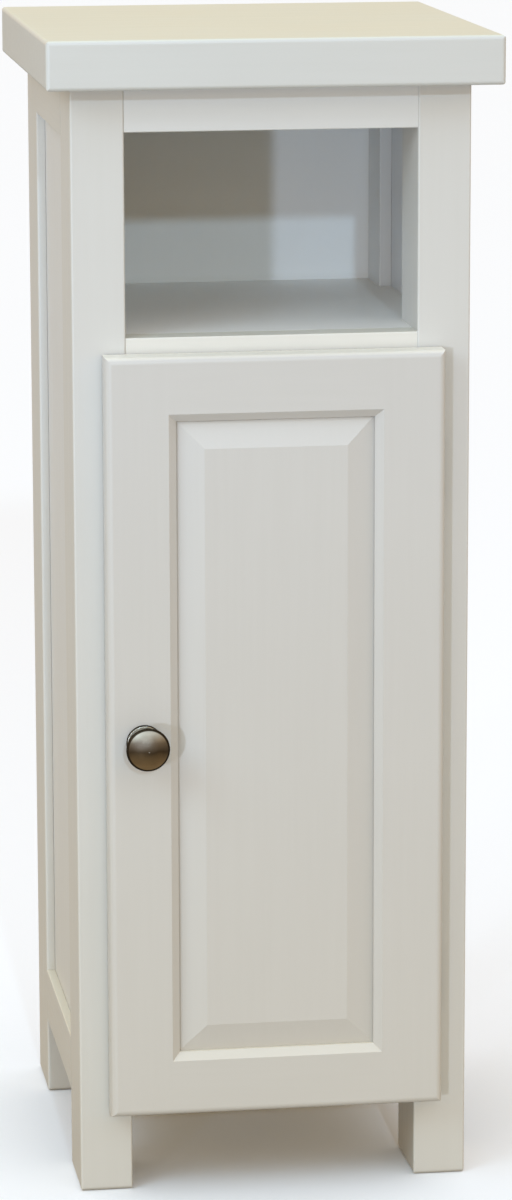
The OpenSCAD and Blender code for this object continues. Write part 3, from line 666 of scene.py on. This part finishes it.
@dataclass
class Studio:
    """The pale floor, the lamps and the bright surround."""

    floor_half: float = 30.0
    floor_colour: str = "#FEFEFE"
    bounce_colour: str = "#AAA295"  # the floor's tone for every ray but the camera's, so that it lights less
    tooth_mm: float = 40.0
    tooth_depth_mm: float = 0.2
    wall_top_degrees: tuple[float, float] = (22, 42)
    wall_colour: str = "#FFD793"
    wall_light: float = 0.82
    ceiling_colour: str = "#E9F3FF"
    ceiling_light: float = 1.19
    high_window_place: Vector = field(default_factory=lambda: Vector((-1.5, -1.2, 1.6)))
    high_window_aim: Vector = field(default_factory=lambda: Vector((0, 0, 0.75)))
    high_window_size: float = 1.0
    high_window_power: float = 13.0
    high_window_colour: str = "#C4E6FF"
    suns: list[Sun] = field(
        default_factory=lambda: [
            Sun("left_window", 27.4, 3.5, 0.71, "#D3E5FF", 1.8),
            Sun("front_window", 0.8, 18.7, 0.63, "#C6E5FF", 1.8),
        ]
    )

    def build(self) -> None:
        """Lays the floor and hangs the lamps."""
        self.lay_floor()
        self.paint_surround()
        for sun in self.suns:
            sun.hang()
        self.hang_high_window()
        bpy.context.scene.view_settings.view_transform = "Standard"

    def paint_surround(self) -> None:
        """Makes the room round the cabinet: a bright, cool ceiling over dimmer, warm walls."""
        world = bpy.data.worlds.new("surround")
        world.use_nodes = True
        tree = world.node_tree
        direction = add_node(tree, "ShaderNodeTexCoord").outputs["Generated"]
        height = add_node(tree, "ShaderNodeSeparateXYZ", inputs={0: direction}).outputs["Z"]
        low, high = (math.sin(math.radians(angle)) for angle in self.wall_top_degrees)
        share = add_node(
            tree,
            "ShaderNodeMapRange",
            {"interpolation_type": "SMOOTHSTEP"},
            {"Value": height, "From Min": low, "From Max": high},
        )
        walls = tuple(self.wall_light * channel for channel in linear(self.wall_colour)[:3])
        ceiling = tuple(self.ceiling_light * channel for channel in linear(self.ceiling_colour)[:3])
        # a Mix node's colour sockets share their names with its other ones, so they go by number
        tone = add_node(
            tree,
            "ShaderNodeMix",
            {"data_type": "RGBA", "name": "room"},
            {0: share.outputs[0], 6: (*walls, 1.0), 7: (*ceiling, 1.0)},
        )
        tree.links.new(tone.outputs[2], tree.nodes["Background"].inputs["Color"])
        bpy.context.scene.world = world

    def hang_high_window(self) -> None:
        """Hangs the wide cool lamp, in front of the cabinet, to the left and above it."""
        lamp = bpy.data.lights.new("high_window", "AREA")
        lamp.energy = self.high_window_power
        lamp.size = self.high_window_size
        lamp.color = linear(self.high_window_colour)[:3]
        holder = bpy.data.objects.new("high_window", lamp)
        holder.location = self.high_window_place
        shine = self.high_window_aim - self.high_window_place
        holder.rotation_euler = shine.to_track_quat("-Z", "Y").to_euler()
        bpy.context.collection.objects.link(holder)

    def lay_floor(self) -> None:
        """Makes the floor as one wide square just under the feet."""
        mesh = bpy.data.meshes.new("studio_floor")
        half = self.floor_half
        corners = [(-half, -half, 0), (half, -half, 0), (half, half, 0), (-half, half, 0)]
        mesh.from_pydata(corners, [], [(0, 1, 2, 3)])
        floor = bpy.data.objects.new("studio_floor", mesh)
        bpy.context.collection.objects.link(floor)
        paper = Finish("floor_paper", self.floor_colour, 0.9)
        material, tree, shader, place = paper.start()
        seen = add_node(tree, "ShaderNodeLightPath").outputs["Is Camera Ray"]
        tone = add_node(
            tree,
            "ShaderNodeMixRGB",
            inputs={"Fac": seen, "Color1": linear(self.bounce_colour), "Color2": linear(self.floor_colour)},
        )
        tree.links.new(tone.outputs[0], shader.inputs["Base Color"])
        tooth = paper.noise(tree, place, (self.tooth_mm,) * 3, detail=4.0)
        bump = add_node(
            tree,
            "ShaderNodeBump",
            inputs={"Strength": 0.2, "Distance": self.tooth_depth_mm * MM, "Height": tooth},
        )
        tree.links.new(bump.outputs[0], shader.inputs["Normal"])
        mesh.materials.append(material)


@dataclass
class Viewpoint:
    """The camera: standing a little to the left of the cabinet and above it, looking down at it."""

    place: Vector = field(default_factory=lambda: Vector((-0.4931, -3.4012, 1.1472)))
    down_degrees: float = 11.735
    turn_degrees: float = -8.363
    roll_degrees: float = -0.148
    lens_mm: float = 134.17
    sensor_mm: float = 36.0

    def build(self) -> None:
        """Makes the camera and puts it in the scene."""
        data = bpy.data.cameras.new("viewpoint")
        data.lens = self.lens_mm
        data.sensor_width = self.sensor_mm
        camera = bpy.data.objects.new("viewpoint", data)
        camera.location = self.place
        aim = Euler((math.radians(90 - self.down_degrees), 0, math.radians(self.turn_degrees)), "XYZ")
        roll = Euler((0, 0, math.radians(self.roll_degrees)), "XYZ")
        camera.rotation_mode = "QUATERNION"
        camera.rotation_quaternion = aim.to_quaternion() @ roll.to_quaternion()
        bpy.context.collection.objects.link(camera)
        bpy.context.scene.camera = camera


def main() -> None:
    """Builds the viewpoint, the studio and every finish, in that order."""
    logging.basicConfig(level=logging.INFO)
    Viewpoint().build()
    Studio().build()
    Carcass().dress()
    Door().dress()
    Fittings().dress()


if __name__ == "__main__":
    main()
